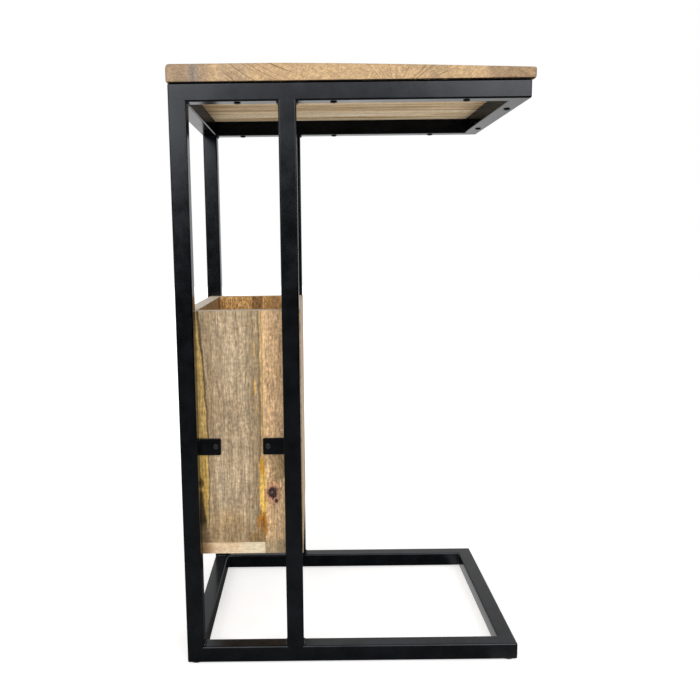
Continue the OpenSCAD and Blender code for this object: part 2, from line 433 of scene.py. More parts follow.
@dataclass(frozen=True)
class ScrewSteel:
    """Plated steel of a wood screw, rolled and tumbled.

    Tumbling rounds the recess and leaves fine dull marks in the plating, so a
    head glints here and there instead of all over.
    """

    name: str
    bright: str
    dull: str
    # Roughness of the dull marks and of the plating between them
    roughness: Pair
    colour_span: Pair = (0.38, 0.6)
    roughness_span: Pair = (0.35, 0.65)
    # The real marks are finer than a tenth of a millimetre; these are as coarse as it takes to show
    mark_mm: float = 0.7
    mark_height_mm: float = 0.05

    def material(self) -> Material:
        """Build the material.

        Returns:
            The screw's plating.
        """
        made, add = new_material(self.name)
        place = add("TexCoord").outputs["Object"]
        marks = add("TexNoise", {"Vector": place, "Scale": 1 / (self.mark_mm * MM), "Detail": 4.0})
        colour = add("ValToRGB", (marks,), stops=tuple(zip(self.colour_span, (self.dull, self.bright))))
        roughness = add("MapRange", (marks, *self.roughness_span, *self.roughness))
        dents = add("Bump", {"Strength": 0.15, "Distance": self.mark_height_mm * MM, "Height": marks})
        inputs = {"Base Color": colour, "Metallic": 1.0, "Roughness": roughness, "Normal": dents}
        add_surface(add, inputs)
        return made


@dataclass(frozen=True)
class GlideRubber:
    """Moulded black rubber of the floor glides.

    The mould's eroded skin leaves a fine grain, which keeps the rubber dull.
    """

    name: str = "black_rubber"
    colour: str = "#141516"
    worn: str = "#232426"
    colour_span: Pair = (0.4, 0.7)
    roughness: float = 0.62
    grain_mm: float = 0.6
    grain_height_mm: float = 0.1

    def material(self) -> Material:
        """Build the material.

        Returns:
            The rubber.
        """
        made, add = new_material(self.name)
        place = add("TexCoord").outputs["Object"]
        grain = add("TexNoise", {"Vector": place, "Scale": 1 / (self.grain_mm * MM), "Detail": 2.0})
        colour = add("ValToRGB", (grain,), stops=tuple(zip(self.colour_span, (self.colour, self.worn))))
        bump = add("Bump", {"Strength": 0.3, "Distance": self.grain_height_mm * MM, "Height": grain})
        add_surface(add, {"Base Color": colour, "Roughness": self.roughness, "Normal": bump})
        return made


# ------------------------------------------------------------------ timber


class Grain(Enum):
    """Axes along the fibres, across them and through the board."""

    X_FLAT = (0, 1, 2)
    X_UPRIGHT = (0, 2, 1)
    Y_FLAT = (1, 0, 2)
    Z_FACING_Y = (2, 0, 1)
    Z_FACING_X = (2, 1, 0)


@dataclass(frozen=True)
class BoardSpace:
    """Sockets that a mark on a board is drawn with, in mm from its centre."""

    add: Adder
    place: NodeSocket
    along: NodeSocket
    across: NodeSocket
    through: NodeSocket
    ragged: NodeSocket
    fine: NodeSocket


@dataclass(frozen=True)
class Streak:
    """Band of another colour along the fibres, with ragged edges.

    Lengths are in mm from the middle of the board. The band's middle leans and
    bends, and its half width grows, with the place along the board.
    """

    colour: str
    centre: float
    half: float
    lean: float = 0.0
    bend: float = 0.0
    growth: float = 0.0
    soft: float = 1.5
    ragged: float = 5.0
    strength: float = 1.0

    def paint(self, space: BoardSpace, under: Node) -> Node:
        """Lay the band over a colour.

        Args:
            space: Sockets of the board.
            under: Colour so far.

        Returns:
            The colour with the band.
        """
        add = space.add
        slope = add("Math.MULTIPLY_ADD", (space.along, self.bend, self.lean))
        middle = add("Math.MULTIPLY_ADD", (space.along, slope, self.centre - self.ragged / 2))
        middle = add("Math.MULTIPLY_ADD", (space.ragged, self.ragged, middle))
        off = add("Math.SUBTRACT", (space.across, middle))
        off = add("Math.ABSOLUTE", (off,))
        half = add("Math.MULTIPLY_ADD", (space.along, self.growth, self.half))
        beyond = add("Math.SUBTRACT", (off, half))
        mask = add("MapRange.SMOOTHSTEP", (beyond, self.soft, -self.soft, 0.0, self.strength))
        return add("Mix.RGBA", (mask, under, linear(self.colour)))


@dataclass(frozen=True)
class Patch:
    """Oval of other colours: a knot, a stain or a fleck.

    Its place and its half axes are in mm from the middle of the board, and its
    colours run from the middle to the rim.
    """

    along: float
    across: float
    long: float
    wide: float
    colours: tuple[str, ...]
    at: tuple[float, ...] = (0.0, 1.0)
    ragged: float = 0.5
    speckle: float = 0.0
    soft: float = 0.25
    strength: float = 1.0

    def paint(self, space: BoardSpace, under: Node) -> Node:
        """Lay the oval over a colour.

        Args:
            space: Sockets of the board.
            under: Colour so far.

        Returns:
            The colour with the oval.
        """
        add = space.add
        off = add(
            "VectorMath.MULTIPLY_ADD",
            (
                space.place, (1 / self.long, 1 / self.wide, 0.0),
                (-self.along / self.long, -self.across / self.wide, 0.0)
            )
        )
        reach = add("VectorMath.LENGTH", (off,))
        reach = add("Math.MULTIPLY_ADD", (space.ragged, self.ragged, reach.outputs["Value"]))
        reach = add("Math.SUBTRACT", (reach, (self.ragged + self.speckle) / 2))
        reach = add("Math.MULTIPLY_ADD", (space.fine, self.speckle, reach))
        colour = add("ValToRGB", (reach,), stops=tuple(zip(self.at, self.colours)))
        mask = add("MapRange.SMOOTHSTEP", (reach, 1.0, 1.0 - self.soft, 0.0, self.strength))
        return add("Mix.RGBA", (mask, under, colour))


@dataclass(frozen=True)
class EdgeGrain:
    """Blotchy cut grain on the outer edge of a plank, with a painted shadow along its lower edge where it
    sits on the rail.

    Lengths are in mm from the middle of the plank.
    """

    colour: str
    edge: float
    patches: tuple[Patch, ...] = ()
    blotch_mm: Pair = (8.0, 5.0)
    blotch_depth: float = 0.13
    grit_mm: Pair = (1.9, 1.7)
    grit_depth: float = 0.26
    edge_reach: float = 4.0
    # Painted shadow of the gap between the plank and the rail under it: how far in from the edge it
    # reaches, its top, softness, rise along the plank and colour
    arris_reach: float = 7.0
    arris_top: float = -9.2
    arris_soft: float = 0.5
    arris_rise: float = 0.0015
    arris: str = "#1c1712"

    def paint(self, space: BoardSpace, under: Node) -> Node:
        """Lay the edge, with the painted shadow along its lower edge, over a colour.

        Args:
            space: Sockets of the board.
            under: Colour so far.

        Returns:
            The colour with the edge.
        """
        add = space.add
        colour = linear(self.colour)
        for patch in self.patches:
            colour = patch.paint(space, colour)
        for (wide, high), depth in ((self.blotch_mm, self.blotch_depth), (self.grit_mm, self.grit_depth)):
            cell = add("VectorMath.MULTIPLY", (space.place, (1 / wide, 1 / wide, 1 / high)))
            grain = add("TexNoise", {"Vector": cell, "Scale": 1.0, "Detail": 2.0})
            colour = shade(add, colour, grain, depth)
        # Painted shadow along the lower edge, where the plank sits on the rail
        height = add("Math.MULTIPLY_ADD", (space.along, -self.arris_rise, space.through))
        outside, below, lowest = (
            add("MapRange.SMOOTHSTEP", (value, start, stop))
            for value, start, stop in (
                (space.across, self.edge + self.edge_reach, self.edge + self.edge_reach / 2),
                (space.across, self.edge + self.arris_reach, self.edge + self.edge_reach),
                (height, self.arris_top + self.arris_soft, self.arris_top)
            )
        )
        dark = add("Math.MULTIPLY", (below, lowest))
        for mask, over in ((outside, colour), (dark, linear(self.arris))):
            under = add("Mix.RGBA", (mask, under, over))
        return under


class Figure(Enum):
    """Lines round the pith of a trunk, and lines away from it."""

    RINGS = "rings"
    RAYS = "rays"


@dataclass(frozen=True)
class PithLines:
    """Thin dark lines on the edge of a plank, laid out round the pith.

    Lengths are in mm from the middle of the plank, but the spacing of rays is
    in radians. A line is drawn where its noise lies between the fine values.
    """

    figure: Figure
    colour: str
    along: float
    through: float
    spacing: float
    start: float
    stop: float
    edge: float
    fine: Pair = (0.55, 0.64)
    reach: Pair = (4.0, 2.0)
    wobble: float = 3.0
    shake: float = 2.5
    soft: float = 12.0
    strength: float = 0.7
    seed: float = 0.0

    def paint(self, space: BoardSpace, under: Node) -> Node:
        """Draw the lines over a colour.

        Args:
            space: Sockets of the board.
            under: Colour so far.

        Returns:
            The colour with the lines.
        """
        add = space.add
        sway = add("Math.MULTIPLY_ADD", (space.ragged, self.wobble, -self.along))
        sway = add("Math.MULTIPLY_ADD", (space.fine, self.shake, sway))
        away = add("Math.ADD", (space.along, sway))
        up = add("Math.SUBTRACT", (space.through, self.through))
        if self.figure is Figure.RAYS:
            course = add("Math.ARCTAN2", (away, up))
        else:
            apart = add("CombineXYZ", (away, up))
            course = add("VectorMath.LENGTH", (apart,)).outputs["Value"]
        course = add("Math.MULTIPLY_ADD", (course, 1 / self.spacing, self.seed))
        lines = add("TexNoise.1D", {"W": course, "Scale": 1.0, "Detail": 1.5, "Roughness": 0.6})
        mask = add("MapRange", (lines, *self.fine, 0.0, self.strength))
        limits = (
            (space.along, self.start - self.soft, self.start + self.soft),
            (space.along, self.stop + self.soft, self.stop - self.soft),
            (space.across, self.edge + self.reach[0], self.edge + self.reach[1])
        )
        for value, start, stop in limits:
            limit = add("MapRange.SMOOTHSTEP", (value, start, stop))
            mask = add("Math.MULTIPLY", (mask, limit))
        return add("Mix.RGBA", (mask, under, linear(self.colour)))


Mark = Streak | Patch | EdgeGrain | PithLines


@dataclass(frozen=True)
class MangoTimber:
    """Sawn and sanded mango wood under a matt lacquer.

    The wood is tan with grey, gold and brown bands, and short dark pores lie
    in it like pencil strokes. Fine cross ripples catch the light.
    """

    dark: str
    mid: str
    light: str
    end: str
    pore: str = "#6d5638"
    seed: float = 0.0
    marks: tuple[Mark, ...] = ()
    edge_marks: tuple[Mark, ...] = ()
    band_mm: float = 13.0
    band_long_mm: float = 240.0
    fleck_mm: Pair = (4.5, 2.0)
    band_share: float = 0.35
    patch_share: float = 0.2
    fleck_share: float = 0.45
    speck_mm: Pair = (5.0, 2.3)
    speck_depth: float = 0.3
    fibre_depth: float = 0.14
    ripple_depth: float = 0.1
    ring_depth: float = 0.08
    # Real pores are about 0.2 mm wide; these are as coarse as it takes to show
    pore_mm: Pair = (6.0, 1.2)
    pore_share: float = 0.6
    pore_span: Pair = (0.56, 0.68)
    wander_mm: Pair = (150.0, 55.0)
    sway_mm: float = 14.0
    patch_mm: Pair = (60.0, 30.0)
    fibre_mm: Pair = (24.0, 1.3)
    ripple_mm: Pair = (3.4, 8.0)
    ragged_mm: Pair = (14.0, 20.0)
    rings_per_mm: Triple = (0.012, 0.33, 0.33)
    rings_to_pith: Triple = (0.0, 1.7, 11.0)
    tone_stops: Triple = (0.37, 0.5, 0.63)
    # How far a face has to turn across the grain to show its end, and how dark its pores are there
    end_facing: Pair = (0.5, 0.8)
    end_share: float = 0.85
    end_pore_span: Pair = (0.4, 0.65)
    end_pores: Pair = (1.0, 0.8)
    roughness: Pair = (0.48, 0.64)
    roughness_span: Pair = (0.3, 0.7)
    relief_mm: float = 0.25
    ripple_relief: float = 0.5
    specular: float = 0.35
    # Brightness of the wood where glossy steel mirrors it
    mirrored_share: float = 1.0

    def material(self, name: str, low: Vector, high: Vector, grain: Grain) -> Material:
        """Build the material for one board.

        Args:
            name: Name of the material.
            low: Lowest corner of the board.
            high: Highest corner of the board.
            grain: Axes of the board.

        Returns:
            The timber.
        """
        made, add = new_material(name)
        whole = add("TexCoord").outputs["Object"]
        local = add(
            "Mapping", {"Vector": whole, "Location": -(low + high) / 2 / MM, "Scale": (1 / MM,) * 3}
        )
        split = add("SeparateXYZ", (local,))
        along, across, through = (split.outputs[axis] for axis in grain.value)
        board = add("CombineXYZ", (along, across, through))
        wander = self.layer(add, board, self.wander_mm, 1.0)
        fibres = add(
            "VectorMath.MULTIPLY_ADD", (wander.outputs["Color"], (0.0, self.sway_mm, self.sway_mm), board)
        )
        band = self.layer(add, fibres, (self.band_long_mm, self.band_mm), 3.0)
        patch = self.layer(add, board, self.patch_mm, 2.0)
        fibre = self.layer(add, fibres, self.fibre_mm, 2.0)
        speck = self.layer(add, fibres, self.speck_mm, 2.0)
        fleck = self.layer(add, fibres, self.fleck_mm, 3.0)
        pore = self.layer(add, fibres, self.pore_mm, 2.0)
        ripple = self.layer(add, board, self.ripple_mm, 2.0)
        edge = self.layer(add, board, self.ragged_mm, 3.0)

        tone: Node | float = 0.5 * (1 - self.band_share - self.patch_share - self.fleck_share)
        for part, share in (
            (band, self.band_share), (patch, self.patch_share), (fleck, self.fleck_share)
        ):
            tone = add("Math.MULTIPLY_ADD", (part, share, tone))
        colour = add(
            "ValToRGB", (tone,), stops=tuple(zip(self.tone_stops, (self.dark, self.mid, self.light)))
        )
        space = BoardSpace(
            add, board.outputs[0], along, across, through, edge.outputs[0], speck.outputs[0]
        )
        for mark in self.marks:
            colour = mark.paint(space, colour)
        colour = shade(add, colour, speck, self.speck_depth)
        colour = shade(add, colour, fibre, self.fibre_depth)
        colour = shade(add, colour, ripple, self.ripple_depth)
        colour = shade(add, colour, self.rings(add, fibres), self.ring_depth)
        holes = add("MapRange", (pore, *self.pore_span, 0.0, self.pore_share))
        colour = add("Mix.RGBA", (holes, colour, linear(self.pore)))
        colour = self.end_grain(add, colour, grain, pore)
        for mark in self.edge_marks:
            colour = mark.paint(space, colour)
        glossy = add("LightPath").outputs["Is Glossy Ray"]
        mirrored = add("MapRange", (glossy, 0.0, 1.0, 1.0, self.mirrored_share))
        colour = add("VectorMath.SCALE", (colour, mirrored))
        height = add("Math.SUBTRACT", (fibre, holes))
        height = add("Math.MULTIPLY_ADD", (ripple, self.ripple_relief, height))
        bump = add("Bump", {"Strength": 0.35, "Distance": self.relief_mm * MM, "Height": height})
        roughness = add("MapRange", (fibre, *self.roughness_span, *self.roughness))
        add_surface(
            add,
            {
                "Base Color": colour, "Roughness": roughness, "Normal": bump,
                "Specular IOR Level": self.specular
            }
        )
        return made

    def layer(self, add: Adder, place: Node, size_mm: Pair, detail: float) -> Node:
        """Add a noise whose cells are stretched along the fibres.

        Args:
            add: Adds a node to the tree of the material.
            place: Position in mm: along, across and through the board.
            size_mm: Length and width of a cell.
            detail: Detail of the noise.

        Returns:
            The noise node.
        """
        long, wide = size_mm
        cell = add("VectorMath.MULTIPLY", (place, (1 / long, 1 / wide, 1 / wide)))
        return add(
            "TexNoise.4D",
            {"Vector": cell, "W": self.seed, "Scale": 1.0, "Detail": detail, "Roughness": 0.6}
        )

    def rings(self, add: Adder, fibres: Node) -> Node:
        """Add the growth lines of a flat-sawn board, round a pith below it.

        Args:
            add: Adds a node to the tree of the material.
            fibres: Position in mm, with the wander of the fibres.

        Returns:
            The lines as a noise of the distance from the pith.
        """
        from_pith = add("VectorMath.MULTIPLY_ADD", (fibres, self.rings_per_mm, self.rings_to_pith))
        radius = add("VectorMath.LENGTH", (from_pith,))
        return add("TexNoise.1D", {"W": radius.outputs["Value"], "Scale": 1.0, "Detail": 2.0})

    def end_grain(self, add: Adder, colour: Node, grain: Grain, pore: Node) -> Node:
        """Show cut fibres on the faces across the grain.

        Args:
            add: Adds a node to the tree of the material.
            colour: Colour of the long grain.
            grain: Axes of the board.
            pore: Noise of the pores, which are dots there.

        Returns:
            The colour with end grain.
        """
        normal = add("NewGeometry").outputs["Normal"]
        facing = add("SeparateXYZ", (normal,)).outputs[grain.value[0]]
        facing = add("Math.ABSOLUTE", (facing,))
        mask = add("MapRange", (facing, *self.end_facing, 0.0, self.end_share))
        cut = add("MapRange", (pore, *self.end_pore_span, *self.end_pores))
        dots = add("VectorMath.SCALE", (linear(self.end)[:3], cut))
        return add("Mix.RGBA", (mask, colour, dots))


@dataclass
class BoardShape:
    """Board cut to a CAD box, with eased edges and a slightly uneven surface."""

    low: Vector
    high: Vector
    grain: Grain
    edge_mm: tuple[float, float, float, float] = (0.6, 0.6, 0.6, 0.6)
    end_mm: float = 0.6
    uneven_mm: float = 0.12
    step_mm: float = 12.0
    arc_steps: int = 4
    hollow_mm: float = 35.0
    side_cuts: int = 6

    def stations(self) -> list[Pair]:
        """Give the cuts along the board.

        Returns:
            The place of each cut and how far it is drawn in for the round end.
        """
        axis = self.grain.value[0]
        start, stop = self.low[axis], self.high[axis]
        radius = self.end_mm * MM
        turns = [math.pi / 2 * i / self.arc_steps for i in range(self.arc_steps + 1)]
        arc = [(radius * (1 - math.cos(a)), radius * (1 - math.sin(a))) for a in turns]
        count = max(2, round((stop - start - 2 * radius) / (self.step_mm * MM)))
        inner = [(start + radius + (stop - start - 2 * radius) * i / count, 0.0) for i in range(1, count)]
        return [(start + d, e) for d, e in arc] + inner + [(stop - d, e) for d, e in reversed(arc)]

    def outline(self, along: float, drawn_in: float) -> list[Pair]:
        """Give the section at a cut, across and through the board.

        Args:
            along: Place of the cut.
            drawn_in: How far the outline is drawn in.

        Returns:
            Points of the section.
        """
        _, across, through = self.grain.value
        return rounded_rectangle(
            (self.low[across] + drawn_in, self.low[through] + drawn_in),
            (self.high[across] - drawn_in, self.high[through] - drawn_in),
            tuple((r * MM, r * MM) for r in self.edge_mm), self.arc_steps, self.side_cuts
        )

    def build(self) -> BMesh:
        """Loft the board from its sections.

        Returns:
            The mesh, inside the CAD box.
        """
        axes = self.grain.value
        middle = (self.low + self.high) / 2
        shape = bmesh.new()
        rings = []
        for place, drawn_in in self.stations():
            ring = []
            for across, through in self.outline(place, drawn_in):
                point = Vector((0.0, 0.0, 0.0))
                point[axes[0]], point[axes[1]], point[axes[2]] = place, across, through
                dip = 0.5 + 0.5 * noise.noise(point / (self.hollow_mm * MM))
                inward = (middle - point).normalized()
                inward[axes[0]] = 0.0
                ring.append(point + inward * dip * self.uneven_mm * MM)
            rings.append(ring)
        add_loft(shape, rings)
        return shape


@dataclass
class TopPlankShape(BoardShape):
    """Plank of the top, whose edges are sanded away more towards the open end."""

    front: bool = False
    rear: bool = False
    edge_top_mm: float = 3.5
    edge_low_mm: float = 1.8
    edge_under_mm: float = 4.0
    joint_mm: float = 0.25
    # The top face falls from the crest to the open end, most at the front edge
    crest: float = -0.09
    fall_mm: float = 7.6
    fall_power: float = 1.35
    # The lower arris grows rounder from this place to the open end
    thin_low_mm: float = 2.0
    thin_from: float = 0.15

    def fall(self, along: float) -> float:
        """Give how far below the CAD face the front of the top is sanded, along the board."""
        share = max(0.0, along - self.crest) / (self.high.x - self.crest)
        return self.fall_mm * MM * share**self.fall_power

    def outline(self, along: float, drawn_in: float) -> list[Pair]:
        """Give the section at a cut, with worn edges on the outer sides.

        Args:
            along: Place of the cut.
            drawn_in: How far the outline is drawn in.

        Returns:
            Points of the section.
        """
        top = self.edge_top_mm * MM
        near_end = max(0.0, (along - self.thin_from) / (self.high.x - self.thin_from))
        low = (self.edge_low_mm + self.thin_low_mm * near_end) * MM
        joint = (self.joint_mm * MM, self.joint_mm * MM)
        front_in = drawn_in if self.front else 0.0
        rear_in = drawn_in if self.rear else 0.0
        lift = min(drawn_in, self.edge_low_mm * MM)
        points = rounded_rectangle(
            (self.low.y + front_in, self.low.z + lift), (self.high.y - rear_in, self.high.z - drawn_in),
            (
                (self.edge_under_mm * MM, low) if self.front else joint,
                (self.edge_under_mm * MM, low) if self.rear else joint,
                (top, top) if self.rear else joint, (top, top) if self.front else joint
            ),
            self.arc_steps, self.side_cuts
        )
        depth = cad_high.y - cad_low.y
        sanded = []
        for y, z in points:
            height = (z - self.low.z) / (self.high.z - self.low.z)
            near_front = (cad_high.y - y) / depth
            sanded.append((y, z - self.fall(along) * near_front * max(0.0, height) ** 2))
        return sanded


# ------------------------------------------------------------------ steel frame


@dataclass(frozen=True)
class Seat:
    """Place of a fastener: the middle of its seat, the way it faces and its head's radius."""

    place: Vector
    outward: Vector
    radius: float


def seats_in_walls(node: str) -> list[Seat]:
    """Find the fasteners of a CAD node that face out of the front and the rear wall.

    Args:
        node: Name of the node.

    Returns:
        Their places.
    """
    seats = []
    for body in islands(node):
        low, high = extent(body)
        middle = (low + high) / 2
        side = -1 if middle.y < 0 else 1
        place = Vector((middle.x, low.y if side < 0 else high.y, middle.z))
        seats.append(Seat(place, Vector((0, side, 0)), (high.x - low.x) / 2))
    return seats


def seats_below(node: str, level: float) -> list[Seat]:
    """Find the fasteners of a CAD node that face down.

    Args:
        node: Name of the node.
        level: Height of the face that they sit against.

    Returns:
        Their places.
    """
    seats = []
    for body in islands(node):
        low, high = extent(body)
        middle = (low + high) / 2
        place = Vector((middle.x, middle.y, level))
        seats.append(Seat(place, Vector((0, 0, -1)), (high.x - low.x) / 2))
    return seats


@dataclass
class SteelFrame:
    """Welded frame of square tube: two mitred rectangles, four posts and four tabs."""

    coat: Material
    tab_seats: list[Seat]
    tube_radius_mm: float = 2.0
    facets: int = 5
    tab_edge_mm: float = 0.4
    tab_corner_mm: float = 2.0
    # Where the middle of a tab's rounded edge lies, as a share of that edge
    tab_ease: float = 0.3
    tab_side_cuts: int = 6
    countersink_mm: float = 1.9
    hole_play_mm: float = 0.15
    bore_share: float = 0.55
    # Radius of a bead and its distance from the corner, as shares of the fillet's leg
    bead_share: float = 0.6
    bead_inset: float = 0.1
    bead_pitch_mm: float = 1.6
    bead_ripple: float = 0.07

    def build(self) -> None:
        """Build every steel piece."""
        for level in ("base", "top"):
            self.build_rectangle(level)
        for name in POSTS:
            low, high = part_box(f"{name}_post")
            shape = bmesh.new()
            add_rounded_bar(shape, low, high, self.tube_radius_mm * MM)
            add_piece(f"{name}_post_tube", shape, self.coat, "black_steel", f"{name}_post")
        for name in TABS:
            self.build_tab(name)
        self.build_ground_joints()
        self.build_beads()

    def build_rectangle(self, level: str) -> None:
        """Build the four mitred rails of a rectangle, rounded before they are parted.

        Args:
            level: "base" or "top".
        """
        sides = ("front", "right", "rear", "left")
        boxes = [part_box(f"{level}_{side}_rail") for side in sides]
        low, high = extent([corner for box in boxes for corner in box])
        tube = boxes[0][1].y - boxes[0][0].y
        whole = self.rectangle(low, high, tube)
        outer = [Vector((x, y, low.z)) for x, y in corners(low, high)]
        turns = [Vector((x, y, 0)) for x, y in INWARD]
        for index, side in enumerate(sides):
            follow = (index + 1) % 4
            middle = (outer[index] + outer[follow]) / 2
            rail = whole.copy()
            for corner, turn in ((outer[index], turns[index]), (outer[follow], turns[follow])):
                across = turn.cross(Vector((0, 0, 1))).normalized()
                if across.dot(middle - corner) > 0:
                    across.negate()
                self.cut(rail, corner, across)
            name = f"{level}_{side}_rail"
            add_piece(f"{name}_tube", rail, self.coat, "black_steel", name)
        whole.free()

    def rectangle(self, low: Vector, high: Vector, tube: float) -> BMesh:
        """Make the whole rectangle of tube with its long edges and outer corners rounded.

        Args:
            low: Lowest corner.
            high: Highest corner.
            tube: Side of the tube.

        Returns:
            The mesh of the rectangle.
        """
        shape = bmesh.new()
        loops = []
        for z in (low.z, high.z):
            for inset in (0.0, tube):
                plan = corners((low.x + inset, low.y + inset), (high.x - inset, high.y - inset))
                loops.append([shape.verts.new((x, y, z)) for x, y in plan])
        outer_low, inner_low, outer_top, inner_top = loops
        for i in range(4):
            j = (i + 1) % 4
            shape.faces.new((outer_low[i], outer_low[j], outer_top[j], outer_top[i]))
            shape.faces.new((inner_low[j], inner_low[i], inner_top[i], inner_top[j]))
            shape.faces.new((outer_top[i], outer_top[j], inner_top[j], inner_top[i]))
            shape.faces.new((outer_low[j], outer_low[i], inner_low[i], inner_low[j]))
        kept_sharp = {
            frozenset((one[i], other[i])) for i in range(4)
            for one, other in ((outer_low, inner_low), (outer_top, inner_top), (inner_low, inner_top))
        }
        rounded = [e for e in shape.edges if frozenset(e.verts) not in kept_sharp]
        bmesh.ops.bevel(
            shape, geom=rounded, offset=self.tube_radius_mm * MM, segments=self.facets, profile=0.5,
            affect="EDGES"
        )
        return shape

    def cut(self, shape: BMesh, corner: Vector, across: Vector) -> None:
        """Cut a rail off along a mitre and close the cut.

        Args:
            shape: Mesh to cut.
            corner: Point on the mitre.
            across: Normal of the mitre, away from the rail.
        """
        geometry = shape.verts[:] + shape.edges[:] + shape.faces[:]
        on_plane = 0.01 * MM
        bmesh.ops.bisect_plane(
            shape, geom=geometry, plane_co=corner, plane_no=across, clear_outer=True, dist=on_plane
        )
        bmesh.ops.holes_fill(shape, edges=[e for e in shape.edges if e.is_boundary])

    def build_tab(self, name: str) -> None:
        """Build a flat tab with eased edges and a countersunk hole.

        Args:
            name: One of TABS.
        """
        low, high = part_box(f"{name}_tab")
        middle = (low + high) / 2
        seat = min(self.tab_seats, key=lambda s: (s.place - middle).length)
        face, back = (low.y, high.y) if name.startswith("front") else (high.y, low.y)
        inward = 1 if back > face else -1
        corner = self.tab_corner_mm * MM
        left, right = (0.0, corner) if name.endswith("left") else (corner, 0.0)

        def plate(inset: float, y: float) -> list[Vector]:
            """Give the tab's outline, drawn in and at a depth.

            Args:
                inset: How far the free edges are drawn in.
                y: Depth of the outline.

            Returns:
                Points of the outline.
            """
            radii = tuple((max(0.0, r - inset),) * 2 for r in (left, right, right, left))
            plan = rounded_rectangle(
                (low.x + inset * (left > 0), low.z + inset),
                (high.x - inset * (right > 0), high.z - inset), radii, sides=self.tab_side_cuts
            )
            return [Vector((x, y, z)) for x, z in plan]

        outline = plate(0.0, face)
        flat = [Vector((p.x - seat.place.x, 0.0, p.z - seat.place.z)) for p in outline]
        rays = [way.normalized() for way in flat]

        def hole(radius: float, y: float) -> list[Vector]:
            """Give a circle round the screw, with a point for each point of the outline."""
            centre = Vector((seat.place.x, y, seat.place.z))
            return [centre + ray * radius for ray in rays]

        edge = self.tab_edge_mm * MM
        eased = edge * self.tab_ease
        bore = seat.radius * self.bore_share
        rings = [
            hole(bore, back), hole(bore, face + inward * self.countersink_mm * MM),
            hole(seat.radius + self.hole_play_mm * MM, face), plate(edge, face),
            plate(eased, face + inward * eased), plate(0.0, face + inward * edge), plate(0.0, back)
        ]
        shape = bmesh.new()
        add_loft(shape, rings, closed=True)
        add_piece(f"{name}_tab_plate", shape, self.coat, "black_steel", f"{name}_tab")

    def build_ground_joints(self) -> None:
        """Fill the grooves between posts and rails with weld metal ground flush."""
        radius = self.tube_radius_mm * MM
        shape = bmesh.new()
        for name in POSTS:
            low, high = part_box(f"{name}_post")
            for bottom, top in ((low.z - radius, low.z), (high.z, high.z + radius)):
                add_rounded_bar(
                    shape, Vector((low.x, low.y, bottom)), Vector((high.x, high.y, top)), radius
                )
        add_piece("ground_weld_joints", shape, self.coat, "black_steel", "weld_beads")

    def build_beads(self) -> None:
        """Run a rippled weld bead along every fillet of the CAD frame."""
        points, edges, legs = [], [], []
        for body in islands("weld_beads"):
            start, stop, leg = self.bead_line(body)
            edges.append((len(points), len(points) + 1))
            points += [start, stop]
            legs += [leg, leg]
        lines = bpy.data.meshes.new("bead_lines")
        lines.from_pydata(points, edges, [])
        size = lines.attributes.new("leg", "FLOAT", "POINT")
        size.data.foreach_set("value", legs)
        mesh = evaluated_mesh(
            lines, bead_tree(),
            {
                "Radius Share": self.bead_share, "Pitch": self.bead_pitch_mm * MM,
                "Ripple": self.bead_ripple, "Finish": self.coat
            }
        )
        add_piece("weld_fillet_beads", mesh, None, "black_steel", "weld_beads")

    def bead_line(self, body: list[Vector]) -> tuple[Vector, Vector, float]:
        """Find the line of a triangular fillet.

        Args:
            body: Corner points of the fillet.

        Returns:
            Start and end of the bead's centre line, and the fillet's leg.
        """
        low, high = extent(body)
        size = high - low
        axis = max(range(3), key=lambda a: size[a])
        line = [low.copy(), low.copy()]
        leg = min(size[a] for a in range(3) if a != axis)
        for side in range(3):
            if side == axis:
                continue
            # Most corners lie against a tube; they are told to a thousandth of a millimetre
            common = Counter(round(p[side], 6) for p in body).most_common(1)[0][0]
            away = 1 if common < (low[side] + high[side]) / 2 else -1
            for end in line:
                end[side] = common + away * self.bead_inset * leg
        line[0][axis], line[1][axis] = low[axis], high[axis]
        return line[0], line[1], leg


def bead_tree() -> NodeTree:
    """Build the geometry tree that sweeps a rippled bead along lines.

    Returns:
        The tree, with named inputs for the bead's sizes and finish.
    """
    step = 0.4 * MM
    tip_length = 2.0 * MM
    tip_share = 0.25
    facets = 14
    inputs = {"Radius Share": "Float", "Pitch": "Float", "Ripple": "Float", "Finish": "Material"}
    tree, add, given = new_geometry_tree("weld bead", inputs)
    curve = add("MeshToCurve", {"Mesh": given["Geometry"]})
    curve = add("ResampleCurve", {0: curve, 3: step}, mode="LENGTH")
    leg = add("InputNamedAttribute.FLOAT", {"Name": "leg"})
    run = add("SplineParameter").outputs["Length"]
    total = add("SplineLength").outputs["Length"]
    rest = add("Math.SUBTRACT", (total, run))
    to_end = add("Math.MINIMUM", (run, rest))
    rounding = add("MapRange.SMOOTHERSTEP", (to_end, 0.0, tip_length, tip_share, 1.0))
    turn = add("Math.DIVIDE", (run, given["Pitch"]))
    turn = add("Math.MULTIPLY", (turn, math.tau))
    wave = add("Math.SINE", (turn,))
    ripple = add("Math.MULTIPLY_ADD", (wave, given["Ripple"], 1.0))
    radius = add("Math.MULTIPLY", (leg.outputs["Attribute"], given["Radius Share"]))
    for share in (ripple, rounding):
        radius = add("Math.MULTIPLY", (radius, share))
    profile = add("CurvePrimitiveCircle", {"Resolution": facets, "Radius": 1.0})
    bead = add(
        "CurveToMesh", {"Curve": curve, "Profile Curve": profile, "Scale": radius, "Fill Caps": True}
    )
    bead = add("SetShadeSmooth", {0: bead, 2: True})
    bead = add("RealizeInstances", (bead,))
    bead = add("SetMaterial", {0: bead, "Material": given["Finish"]})
    add("NodeGroupOutput", (bead,))
    return tree


# ------------------------------------------------------------------ screws and glides


